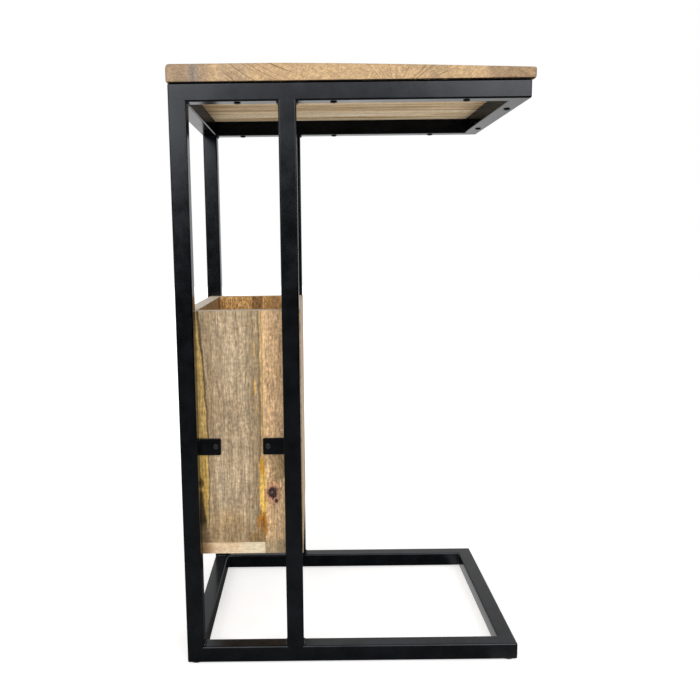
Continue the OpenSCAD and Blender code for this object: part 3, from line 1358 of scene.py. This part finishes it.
@dataclass(frozen=True)
class Fastener:
    """Sizes of a turned fastener; the field names are the inputs of its tree."""

    head_radius: float
    head_depth: float
    underside_radius: float
    crown: float
    head_lift: float
    shank_radius: float = 0.0
    shank_length: float = 0.0
    recess_span: float = 0.0
    recess_width: float = 0.0
    recess_depth: float = 0.0

    def mesh(self, tree: NodeTree, seats: list[Seat], finish: Material) -> Mesh:
        """Set the fastener on its seats.

        Args:
            tree: The fastener tree.
            seats: Places of the fasteners.
            finish: Their material.

        Returns:
            One mesh with all of them.
        """
        points = bpy.data.meshes.new("seats")
        points.from_pydata([s.place for s in seats], [], [])
        outward = points.attributes.new("outward", "FLOAT_VECTOR", "POINT")
        outward.data.foreach_set("vector", [c for s in seats for c in s.outward])
        values = {socket_name(f.name): getattr(self, f.name) for f in fields(self)}
        return evaluated_mesh(points, tree, {**values, "Spin Seed": SPIN_SEED, "Finish": finish})


def socket_name(field_name: str) -> str:
    """Turn a field's name into the name of its input."""
    return field_name.replace("_", " ").title()


def turned_head(add: Adder, given: Sockets) -> Node:
    """Turn a head with a domed top, and cut a cross recess into one that has it.

    Args:
        add: Adds a node to the fastener tree.
        given: Sockets of the tree's inputs.

    Returns:
        The head, with its seat at the origin.
    """
    dome_power = 3.0
    head = add(
        "MeshCone",
        {
            "Vertices": 40, "Side Segments": 2, "Fill Segments": 8, "Radius Top": given["Head Radius"],
            "Radius Bottom": given["Underside Radius"], "Depth": given["Head Depth"]
        }
    )
    position = add("InputPosition")
    flat = add("VectorMath.MULTIPLY", (position, (1.0, 1.0, 0.0)))
    reach = add("VectorMath.LENGTH", (flat,))
    share = add("Math.DIVIDE", (reach.outputs["Value"], given["Head Radius"]))
    fall = add("Math.POWER", (share, dome_power))
    rise = add("Math.SUBTRACT", (1.0, fall))
    rise = add("Math.MULTIPLY", (rise, given["Crown"]))
    domed = add(
        "SetPosition",
        {
            "Geometry": head.outputs["Mesh"], "Selection": head.outputs["Top"],
            "Offset": add("CombineXYZ", {2: rise})
        }
    )
    top = add("Math.ADD", (given["Head Depth"], given["Crown"]))
    slot_depth = add("Math.MULTIPLY", (given["Recess Depth"], 2.0))
    blade = add("CombineXYZ", (given["Recess Span"], given["Recess Width"], slot_depth))
    bar = add("MeshCube", {"Size": blade}).outputs["Mesh"]
    at_top = add("CombineXYZ", {2: top})
    bars = [
        add("Transform", {"Geometry": bar, "Translation": at_top, "Rotation": (0.0, 0.0, turn)})
        for turn in (0.0, math.pi / 2)
    ]
    recessed = add("MeshBoolean.DIFFERENCE", (domed, bars[0]), solver="EXACT")
    recessed.id_data.links.new(bars[1].outputs[0], recessed.inputs[1])
    has_recess = add("Compare.GREATER_THAN", (given["Recess Depth"], 0.0))
    head = add("Switch.GEOMETRY", {"Switch": has_recess, "False": domed, "True": recessed})
    lift = add("CombineXYZ", {2: given["Head Lift"]})
    return add("Transform", {"Geometry": head, "Translation": lift})


def turned_shank(add: Adder, given: Sockets) -> Node:
    """Turn a tapered shank below the head, where the fastener has one.

    Args:
        add: Adds a node to the fastener tree.
        given: Sockets of the tree's inputs.

    Returns:
        The shank.
    """
    tip_share = 0.35
    tip = add("Math.MULTIPLY", (given["Shank Radius"], tip_share))
    shank = add(
        "MeshCone",
        {
            "Vertices": 20, "Radius Top": given["Shank Radius"], "Radius Bottom": tip,
            "Depth": given["Shank Length"]
        }
    )
    sink = add("Math.SUBTRACT", (given["Head Lift"], given["Shank Length"]))
    shank = add(
        "Transform", {"Geometry": shank.outputs["Mesh"], "Translation": add("CombineXYZ", {2: sink})}
    )
    has_shank = add("Compare.GREATER_THAN", (given["Shank Length"], 0.0))
    return add("Switch.GEOMETRY", {"Switch": has_shank, "True": shank})


def fastener_tree() -> NodeTree:
    """Build the geometry tree that sets a turned head and shank on points.

    Returns:
        The tree, with an input for each size of a fastener.
    """
    sizes = {socket_name(size.name): "Float" for size in fields(Fastener)}
    inputs = {**sizes, "Spin Seed": "Int", "Finish": "Material"}
    tree, add, given = new_geometry_tree("turned fastener", inputs)
    whole = add("JoinGeometry", (turned_head(add, given),))
    tree.links.new(turned_shank(add, given).outputs[0], whole.inputs[0])

    outward = add("InputNamedAttribute.FLOAT_VECTOR", {"Name": "outward"})
    facing = add("AlignRotationToVector", {"Vector": outward.outputs["Attribute"]}, axis="Z")
    spin = add("RandomValue.FLOAT", {"Min": 0.0, "Max": math.pi / 2, "Seed": given["Spin Seed"]})
    spin = add("CombineXYZ", {2: spin})
    turned = add("RotateRotation", (facing, add("EulerToRotation", (spin,))), rotation_space="LOCAL")
    placed = add("InstanceOnPoints", {"Points": given["Geometry"], "Instance": whole, "Rotation": turned})
    placed = add("RealizeInstances", (placed,))
    placed = add("SetShadeSmooth", {0: placed, 2: True})
    angle = add("InputMeshEdgeAngle").outputs["Unsigned Angle"]
    crisp = add("Compare.GREATER_THAN", (angle, CRISP_ANGLE))
    placed = add("SetShadeSmooth", (placed, crisp, False), domain="EDGE")
    placed = add("SetMaterial", {0: placed, "Material": given["Finish"]})
    add("NodeGroupOutput", (placed,))
    return tree


@dataclass
class Fasteners:
    """Screws of the top, screws of the tabs and the glides under the corners."""

    tab_seats: list[Seat]
    tree: NodeTree = field(default_factory=fastener_tree)
    pan_crown_mm: float = 0.7
    pan_shank_mm: float = 2.1
    # Span, width and depth of a cross recess
    pan_recess_mm: Triple = (4.0, 0.9, 1.2)
    sunk_depth_mm: float = 1.6
    sunk_crown_mm: float = 0.25
    sunk_shank_mm: float = 1.7
    sunk_head_mm: float = 1.9
    sunk_recess_mm: Triple = (4.3, 2.4, 1.4)
    glide_rim: float = 0.4

    def build(self) -> None:
        """Build the screws and the glides."""
        self.build_pan_screws()
        self.build_sunk_screws()
        self.build_glides()

    def build_pan_screws(self) -> None:
        """Build the screws of the top."""
        rail_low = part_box("top_front_rail")[0].z
        seats = seats_below("top_screws", rail_low)
        low, high = extent(islands("top_screws")[0])
        radius = seats[0].radius
        crown = self.pan_crown_mm * MM
        span, width, depth = (size * MM for size in self.pan_recess_mm)
        pan = Fastener(
            head_radius=radius, head_depth=rail_low - low.z - crown, underside_radius=radius, crown=crown,
            head_lift=0.0, shank_radius=self.pan_shank_mm * MM, shank_length=high.z - rail_low,
            recess_span=span, recess_width=width, recess_depth=depth
        )
        black = ScrewSteel("black_oxide_steel", "#232427", "#121315", (0.5, 0.34)).material()
        add_piece("pan_head_screws", pan.mesh(self.tree, seats, black), None, "black_screw", "top_screws")

    def build_sunk_screws(self) -> None:
        """Build the screws of the tabs, the crown of each head flush with its tab."""
        low, high = extent(islands("tab_screws")[0])
        shank = self.sunk_shank_mm * MM
        span, width, depth = (size * MM for size in self.sunk_recess_mm)
        sunk = Fastener(
            head_radius=self.tab_seats[0].radius, head_depth=self.sunk_depth_mm * MM,
            underside_radius=shank, crown=self.sunk_crown_mm * MM,
            head_lift=-(self.sunk_depth_mm + self.sunk_crown_mm) * MM, shank_radius=shank,
            shank_length=high.y - low.y - self.sunk_head_mm * MM, recess_span=span, recess_width=width,
            recess_depth=depth
        )
        zinc = ScrewSteel("zinc_plated_steel", "#88888a", "#28292b", (0.36, 0.2)).material()
        mesh = sunk.mesh(self.tree, self.tab_seats, zinc)
        add_piece("countersunk_screws", mesh, None, "bare_screw", "tab_screws")

    def build_glides(self) -> None:
        """Build the glides, each a disc with a soft lower rim."""
        low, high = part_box("floor_glides")
        seats = seats_below("floor_glides", high.z)
        radius = seats[0].radius
        thickness = high.z - low.z
        crown = thickness * self.glide_rim
        glide = Fastener(
            head_radius=radius, head_depth=thickness - crown, underside_radius=radius, crown=crown,
            head_lift=0.0
        )
        mesh = glide.mesh(self.tree, seats, GlideRubber().material())
        add_piece("glide_discs", mesh, None, "black_rubber", "floor_glides")


# ------------------------------------------------------------------ wooden sub-assemblies


@dataclass
class TableTop:
    """Top of three planks, glued edge to edge along the length of the table."""

    timber: MangoTimber = MangoTimber(
        dark="#9b7444", mid="#d8b786", light="#f0d5aa", end="#bd9c74", band_mm=11.0, band_long_mm=330.0,
        fleck_mm=(45.0, 5.0), band_share=0.85, patch_share=0.1, fleck_share=0.3, speck_depth=0.1,
        fibre_depth=0.12, ripple_depth=0.05, ring_depth=0.16, mirrored_share=0.25
    )

    def edge_marks(self, edge: float) -> tuple[Mark, ...]:
        """Give the figure of the front edge, rings on the left and checks on the right, and the painted
        shadow along its lower edge.

        Args:
            edge: Place of the edge across the plank, in mm from its middle.

        Returns:
            The marks, from the lowest to the topmost.
        """
        line = "#7d6344"
        patches = (
            Patch(-184.0, edge, 36.0, 14.0, ("#8e7860", "#a98e70"), strength=0.85),
            Patch(-172.0, edge, 7.0, 9.0, ("#7f756c", "#9c8a76"), strength=0.7),
            Patch(-128.0, edge, 20.0, 12.0, ("#a18a6f", "#b69b7c"), strength=0.6),
            Patch(92.0, edge, 16.0, 12.0, ("#a68b69", "#bb9c76"), strength=0.6),
            Patch(184.0, edge, 40.0, 14.0, ("#8b7254", "#a6896a"), strength=0.85)
        )
        return (
            EdgeGrain("#bf9f76", edge, patches),
            PithLines(Figure.RINGS, line, -15.0, 150.0, 1.6, -140.0, -66.0, edge, strength=0.95),
            PithLines(Figure.RINGS, line, -15.0, 150.0, 1.4, -90.0, 20.0, edge, strength=0.3),
            PithLines(Figure.RINGS, line, -15.0, 150.0, 1.8, 60.0, 200.0, edge, strength=0.3, seed=40.0),
            PithLines(Figure.RAYS, line, 52.0, -26.0, 0.06, 15.0, 112.0, edge, wobble=5.0)
        )

    def build(self) -> None:
        """Build the three planks."""
        for index, name in enumerate(("front", "middle", "rear")):
            low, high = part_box(f"top_{name}_plank")
            shape = TopPlankShape(
                low, high, Grain.X_FLAT, end_mm=4.0, step_mm=8.0, arc_steps=6, front=name == "front",
                rear=name == "rear"
            )
            marks = self.edge_marks((low.y - high.y) / 2 / MM) if name == "front" else ()
            timber = replace(self.timber, seed=3.1 + 2.7 * index, edge_marks=marks)
            # The rear plank is paler: partly its own tone, partly painted light that offsets the shade on
            # the underside next to the rear rail
            if name == "rear":
                timber = replace(timber, dark="#b58e5c", mid="#ecd0a4", light="#fbe8c8")
            finish = timber.material(f"mango_top_{name}", low, high, Grain.X_FLAT)
            add_piece(f"{name}_plank_of_top", shape.build(), finish, "top_wood", f"top_{name}_plank")


@dataclass
class MagazineBox:
    """Open box for magazines, with upright boards and a horizontal strip let in below."""

    def boards(self) -> dict[str, tuple[MangoTimber, Grain, str]]:
        """Choose the timber and lay out the figure of each board.

        Returns:
            The timber, the grain and the record's slot of each CAD node.
        """
        wide = MangoTimber(
            dark="#957e60", mid="#b09a7b", light="#c6b091", end="#d9c9b4", pore="#6a553a", seed=1.3,
            band_mm=9.0, band_share=0.5, patch_share=0.35, speck_depth=0.24, fibre_depth=0.34,
            ripple_depth=0.17,
            marks=(
                Streak("#8a7556", -24.0, 4.5, growth=0.03, soft=2.5, strength=0.4),
                Streak("#8d7149", -15.0, 3.0, lean=-0.01, soft=3.0, strength=0.4),
                Streak(
                    "#6b5536", -33.0, 13.9, lean=-0.024, bend=-0.0003, growth=0.008, soft=0.9, ragged=6.0
                ),
                Streak("#d0ad67", -33.9, 12.9, lean=-0.024, bend=-0.0003, soft=0.8, ragged=6.5),
                Patch(-70.0, -27.0, 52.0, 6.5, ("#c69b42", "#caa458"), strength=0.7),
                Streak("#43321b", -32.0, -6.0, growth=-0.12, soft=2.0, ragged=5.0),
                Patch(104.0, -43.0, 62.0, 9.0, ("#86682f", "#9a7c45"), soft=0.6, strength=0.5),
                Patch(
                    -112.0, 4.0, 24.0, 32.0, ("#b98f52", "#c29d66"), ragged=0.5, soft=0.9, strength=0.4
                ),
                Streak("#8b7657", 35.0, 6.5, soft=5.0, ragged=5.0, strength=0.6),
                Streak("#75603f", 42.5, 1.5, soft=1.2, ragged=5.0, strength=0.8),
                Streak("#c7a26a", 45.0, 1.3, soft=1.0, ragged=4.0, strength=0.8),
                Patch(-78.0, 44.0, 38.0, 4.6, ("#dfb961", "#cf9f48")),
                Patch(-46.0, 43.5, 13.0, 3.6, ("#c08a26", "#cf9b3a")),
                Patch(
                    -118.0, 43.5, 17.0, 8.5, ("#96590c", "#ad721c", "#80602a"), (0.2, 0.6, 0.9),
                    speckle=1.2
                ),
                Patch(-136.0, 38.0, 10.0, 14.0, ("#6f5228", "#8f6c36"), (0.3, 0.8), speckle=1.4),
                Patch(97.0, 37.0, 10.0, 1.8, ("#cfac62", "#bd9a62"), strength=0.7),
                Patch(49.0, 37.5, 12.0, 1.8, ("#d2ab55", "#c09a5c"), strength=0.8),
                Patch(22.0, 38.5, 8.0, 1.6, ("#c9a04c", "#b8925a"), strength=0.7),
                Patch(-66.0, -30.0, 7.0, 4.5, ("#3d2c18", "#7a5c2c"), strength=0.9),
                Patch(-136.0, 5.0, 32.0, 60.0, ("#8d6f44", "#a28864"), soft=0.5, strength=0.6)
            )
        )
        narrow = MangoTimber(
            dark="#ac885f", mid="#d2ad82", light="#e8c99f", end="#d8c5ac", seed=5.2, speck_depth=0.3,
            fibre_depth=0.26,
            marks=(
                Streak("#c9a56e", -22.5, 1.6, soft=1.0, ragged=3.0, strength=0.7),
                Streak("#a08355", 22.0, 9.0, soft=6.0, strength=0.5),
                Patch(-39.0, -4.0, 20.0, 17.0, ("#9a7e58", "#b5966c"), speckle=1.2),
                Patch(-71.0, -23.0, 36.0, 3.6, ("#dcb768", "#d2a95c"), ragged=0.4),
                Patch(
                    -112.0, -23.5, 21.0, 3.9, ("#8f5f20", "#b57b2c", "#bb8a44"), (0.0, 0.5, 1.0),
                    ragged=0.5, speckle=1.4
                ),
                Patch(
                    -71.5, -13.0, 15.5, 10.0,
                    ("#b58f7a", "#2c171b", "#341d1d", "#8a5f4c", "#c49470", "#c8986f", "#8f664a"),
                    (0.0, 0.1, 0.4, 0.5, 0.6, 0.86, 0.95), ragged=0.3, speckle=0.55, soft=0.1
                ),
                Patch(-82.0, -9.0, 3.0, 2.2, ("#2c171b", "#5a382e")),
                Patch(-140.0, 2.0, 14.0, 40.0, ("#a48e6c", "#b59c78"), soft=0.5)
            )
        )
        strip = MangoTimber(
            dark="#cfae87", mid="#dabf9b", light="#e4d1b4", end="#cdb596", pore="#b29672", seed=8.4,
            speck_depth=0.12, ripple_depth=0.04, pore_share=0.3,
            marks=(
                Patch(-40.0, 0.0, 30.0, 30.0, ("#8f6f4a", "#c7a47a"), (0.3, 0.95), soft=0.5),
                Patch(36.0, 0.0, 26.0, 30.0, ("#e2d2b2", "#dcc7a6"), soft=0.6)
            )
        )
        golden = MangoTimber(
            dark="#b08147", mid="#deaa69", light="#fbd698", end="#e6cfae", pore="#5f3f18", seed=2.2,
            fleck_mm=(4.5, 2.6), speck_mm=(4.0, 2.0), speck_depth=0.5, fibre_depth=0.2, pore_share=0.8,
            marks=(
                Streak("#9a7142", 25.5, 8.0, soft=1.5, ragged=4.0),
                Streak("#b98a4c", 41.0, 7.0, soft=1.5, ragged=2.0, strength=0.8)
            )
        )
        amber = MangoTimber(
            dark="#87602f", mid="#ad8452", light="#d0a56c", end="#dcc3a0", seed=6.6, speck_depth=0.4
        )
        # Its end grain is near white: painted light on the top rims of the left walls, which the lamps
        # light from above
        brown = MangoTimber(dark="#8c6a44", mid="#a98658", light="#bc986a", end="#fff6e6", seed=4.8)
        shaded = replace(brown, marks=(Streak("#7a5230", 48.0, 10.0, soft=5.0, ragged=6.0),))
        pale = MangoTimber(dark="#c4ab8c", mid="#d8c1a4", light="#e2cfb4", end="#dccdb8", seed=9.1)
        return {
            "box_front_wide_plank": (wide, Grain.Z_FACING_Y, "grey_wood"),
            "box_front_narrow_plank": (narrow, Grain.Z_FACING_Y, "box_wood"),
            "box_front_strip": (strip, Grain.X_UPRIGHT, "pale_wood"),
            "box_rear_wide_plank": (golden, Grain.Z_FACING_Y, "box_wood"),
            "box_rear_narrow_plank": (amber, Grain.Z_FACING_Y, "box_wood"),
            "box_left_front_plank": (brown, Grain.Z_FACING_X, "box_wood"),
            "box_left_rear_plank": (shaded, Grain.Z_FACING_X, "box_wood"),
            "box_right_front_plank": (pale, Grain.Z_FACING_X, "box_wood"),
            "box_right_rear_plank": (pale, Grain.Z_FACING_X, "box_wood"),
            "box_bottom_board": (brown, Grain.Y_FLAT, "box_wood")
        }

    def build(self) -> None:
        """Build the ten boards."""
        for node, (timber, grain, slot) in self.boards().items():
            low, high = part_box(node)
            finish = timber.material(f"mango_{node}", low, high, grain)
            add_piece(f"{node}_board", BoardShape(low, high, grain).build(), finish, slot, node)


# ------------------------------------------------------------------ studio


@dataclass(frozen=True)
class SoftBox:
    """Square lamp before the table; its glow is the radiance of its cloth."""

    name: str
    place: Triple
    size: Pair
    glow: float


@dataclass
class Studio:
    """White floor and surroundings, two soft boxes before the table, and the camera."""

    floor_half: float = 8.0
    floor_colour: str = "#f3f3f2"
    # What the camera sees of the floor, from the table's shadow out to plain white
    floor_near: float = 0.57
    floor_far: float = 1.0
    floor_fade: Pair = (0.25, 1.1)
    floor_bounce: float = 0.13
    ambient: float = 0.38
    # Radiance of the surroundings that steel mirrors, behind the table, before it and low down
    glow_behind: float = 0.62
    glow_before: float = 1.75
    glow_low: float = 0.05
    glow_rise: Pair = (0.08, 0.2)
    glow_turn: Pair = (-0.25, 0.3)
    # Glow of the floor that steel mirrors: each step along an axis, from start to stop, adds a share
    sheen_steps: tuple[tuple[str, float, float, float], ...] = (
        ("Y", -1.4, -0.5, 0.17), ("Y", -0.24, -0.08, -0.17), ("Y", 0.15, 1.0, 0.8), ("X", 0.5, 1.4, -0.35)
    )
    # A bright strip beside it, cut out by steps that multiply
    strip_steps: tuple[tuple[str, float, float], ...] = (
        ("X", 0.162, 0.173), ("X", 0.22, 0.2), ("Y", -0.2, -0.12)
    )
    strip_share: float = 0.7
    target: Triple = (0.0, 0.0, 0.36)
    lamps: tuple[SoftBox, ...] = (
        SoftBox("left soft box", (-1.17, -2.6, 1.8), (1.6, 2.1), 3.2),
        SoftBox("right soft box", (1.27, -2.55, 1.8), (1.7, 2.1), 3.55)
    )
    camera_place: Triple = (-0.0443, -1.0186, 0.5061)
    yaw: float = math.radians(-0.05)
    pitch: float = math.radians(7.83)
    roll: float = math.radians(-0.68)
    lens_mm: float = 39.52
    shift: Pair = (0.0528, -0.0034)

    def build(self) -> None:
        """Set up the studio."""
        self.build_floor()
        self.build_world()
        for lamp in self.lamps:
            self.build_lamp(lamp)
        self.build_camera()
        bpy.context.scene.view_settings.view_transform = "Standard"

    def build_floor(self) -> None:
        """Lay a matt floor that the camera sees as white and that keeps the shadow."""
        shape = bmesh.new()
        bmesh.ops.create_grid(shape, x_segments=8, y_segments=8, size=self.floor_half)
        mesh = bpy.data.meshes.new("studio_floor")
        shape.to_mesh(mesh)
        shape.free()
        made, add = new_material("matt_paper_floor")
        place = add("TexCoord").outputs["Object"]
        away = add("VectorMath.LENGTH", (place,))
        lift = add(
            "MapRange.SMOOTHSTEP",
            (away.outputs["Value"], *self.floor_fade, self.floor_near, self.floor_far)
        )
        axes = add("SeparateXYZ", (place,)).outputs
        strip: Node | float = self.strip_share
        mirrored: Node | float = self.glow_low
        for axis, start, stop, *share in self.strip_steps + self.sheen_steps:
            step = add("MapRange.SMOOTHSTEP", (axes[axis], start, stop))
            if share:
                mirrored = add("Math.MULTIPLY_ADD", (step, share[0], mirrored))
            else:
                strip = add("Math.MULTIPLY", (step, strip))
        mirrored = add("Math.ADD", (mirrored, strip))
        path = add("LightPath")
        paper = add("BsdfDiffuse", {"Color": linear(self.floor_colour)})
        bounce = add("Emission", {"Strength": self.floor_bounce})
        seen = add("Emission", {"Strength": lift})
        extra = add("MixShader", (path.outputs["Is Camera Ray"], bounce, seen))
        lit = add("AddShader", (paper, extra))
        sheen = add("Emission", {"Strength": mirrored})
        surface = add("MixShader", (path.outputs["Is Glossy Ray"], lit, sheen))
        add("OutputMaterial", {"Surface": surface})
        mesh.materials.append(made)
        floor = place_object("studio_floor", mesh)

    def build_world(self) -> None:
        """Surround the scene with white; the steel mirrors it dimmer before the table."""
        world = bpy.data.worlds.new("pale_studio")
        bpy.context.scene.world = world
        add = cleared(world)
        way = add("TexCoord").outputs["Generated"]
        way = add("SeparateXYZ", (way,))
        before = add(
            "MapRange.SMOOTHSTEP", (way.outputs["Z"], *self.glow_rise, self.glow_low, self.glow_before)
        )
        glow = add("MapRange.SMOOTHSTEP", (way.outputs["Y"], *self.glow_turn, before, self.glow_behind))
        path = add("LightPath")
        strength = add("Mix.FLOAT", (path.outputs["Is Glossy Ray"], self.ambient, glow))
        strength = add("Mix.FLOAT", (path.outputs["Is Camera Ray"], strength, 1.0))
        background = add("Background", {"Color": (1.0, 1.0, 1.0, 1.0), "Strength": strength})
        add("OutputWorld", {"Surface": background})

    def build_lamp(self, box: SoftBox) -> None:
        """Hang a soft box that points at the table.

        Args:
            box: The lamp's place, size and glow.
        """
        light = bpy.data.lights.new(box.name, "AREA")
        light.shape = "RECTANGLE"
        light.size, light.size_y = box.size
        light.energy = box.glow * math.pi * box.size[0] * box.size[1]
        lamp = place_object(box.name, light)
        way = Vector(self.target) - Vector(box.place)
        turn = way.to_track_quat("-Z", "Y").to_matrix().to_4x4()
        lamp.matrix_world = Matrix.Translation(box.place) @ turn

    def build_camera(self) -> None:
        """Stand the camera before the open front, a little above the magazine box."""
        data = bpy.data.cameras.new("camera")
        data.sensor_width = 36.0
        data.lens = self.lens_mm
        data.shift_x, data.shift_y = self.shift
        camera = place_object("camera", data)
        turns = ((-self.yaw, "Z"), (math.pi / 2 - self.pitch, "X"), (self.roll, "Z"))
        yaw, tilt, roll = (Matrix.Rotation(angle, 4, axis) for angle, axis in turns)
        camera.matrix_world = Matrix.Translation(self.camera_place) @ (yaw @ tilt @ roll)
        bpy.context.scene.camera = camera


# ------------------------------------------------------------------ main


def main() -> None:
    """Build the table's looks and the studio."""
    logging.basicConfig(level=logging.INFO, format="%(name)s: %(message)s")
    tab_seats = seats_in_walls("tab_screws")
    SteelFrame(PowderCoat().material(), tab_seats).build()
    Fasteners(tab_seats).build()
    TableTop().build()
    MagazineBox().build()
    Studio().build()


if __name__ == "__main__":
    main()
